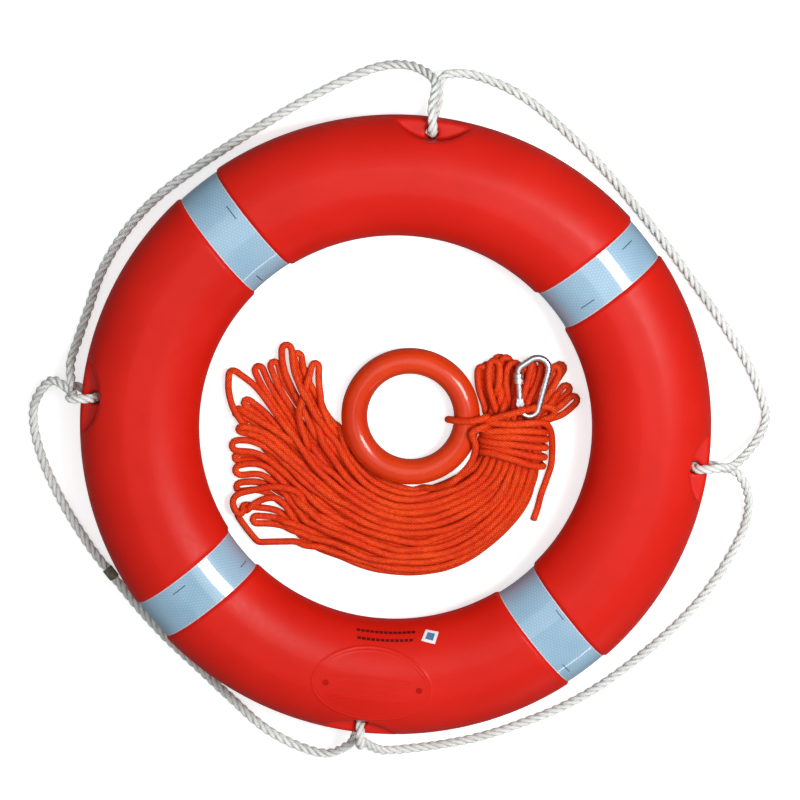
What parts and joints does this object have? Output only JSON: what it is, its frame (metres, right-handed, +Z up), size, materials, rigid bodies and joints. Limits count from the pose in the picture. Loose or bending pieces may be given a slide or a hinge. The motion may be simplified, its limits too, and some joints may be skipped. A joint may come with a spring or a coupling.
{
  "type": "ring lifebuoy",
  "caption": "Ring lifebuoy with a moulded shell, reflective tapes, a grab line through its eyelets, and a stowed heaving line with hand ring and carabiner.",
  "frame": {"origin": "middle of the ring's underside, on the floor it lies on", "axes": "+Z up through the ring's opening, +Y towards the eyelet that is at the top of the picture"},
  "size_m": [0.8495, 0.8227, 0.105],
  "materials": {
    "shell": "satin",
    "foam": "matte",
    "plug": "satin",
    "label": "gloss",
    "tape": "satin",
    "grab_line": "matte",
    "whipping": "matte",
    "hand_ring": "gloss",
    "heaving_line": "matte",
    "steel": "satin",
    "sleeve": "polished"
  },
  "bodies": {
    "lifebuoy": {"shell_top": "shell", "shell_bottom": "shell", "foam_core": "foam", "fill_plugs": "plug", "info_label": "label", "reflective_tape_1": "tape", "reflective_tape_2": "tape", "reflective_tape_3": "tape", "reflective_tape_4": "tape", "grab_line_loop_1": "grab_line", "grab_line_loop_2": "grab_line", "grab_line_loop_3": "grab_line", "grab_line_loop_4": "grab_line", "grab_line_turn_1": "grab_line", "grab_line_turn_2": "grab_line", "grab_line_turn_3": "grab_line", "grab_line_turn_4": "grab_line", "grab_line_whipping": "whipping"},
    "line_kit": {"hand_ring": "hand_ring", "hand_ring_hitch": "heaving_line", "hand_ring_tether": "heaving_line", "heaving_line_bights_left": "heaving_line", "heaving_line_bundle": "heaving_line", "heaving_line_binding": "heaving_line", "heaving_line_bights_right": "heaving_line", "heaving_line_tail": "heaving_line", "carabiner_body": "steel", "gate_pin": "steel"},
    "gate": {"carabiner_gate": "steel", "gate_spring": "steel"},
    "sleeve": {"screw_sleeve": "sleeve"}
  },
  "joints": [
    {"name": "line_kit_lift", "type": "slide", "parent": "lifebuoy", "child": "line_kit", "axis": [0, 0, 1], "range_m": [0, 0.15]},
    {"name": "gate_hinge", "type": "hinge", "parent": "line_kit", "child": "gate", "pos_m": [0.13861, 0.04299, 0.0307], "axis": [0, 0, -1], "range_deg": [0, 20], "stiffness_Nm_per_rad": 0.02, "springref_deg": -28.65},
    {"name": "sleeve_travel", "type": "slide", "parent": "gate", "child": "sleeve", "axis": [0.1805, -0.9836, 0], "range_m": [0, 0.012]}
  ],
  "couplings": [
    {"joint": "sleeve_travel", "follows": "gate_hinge", "m_per_rad": 0.0343}
  ]
}
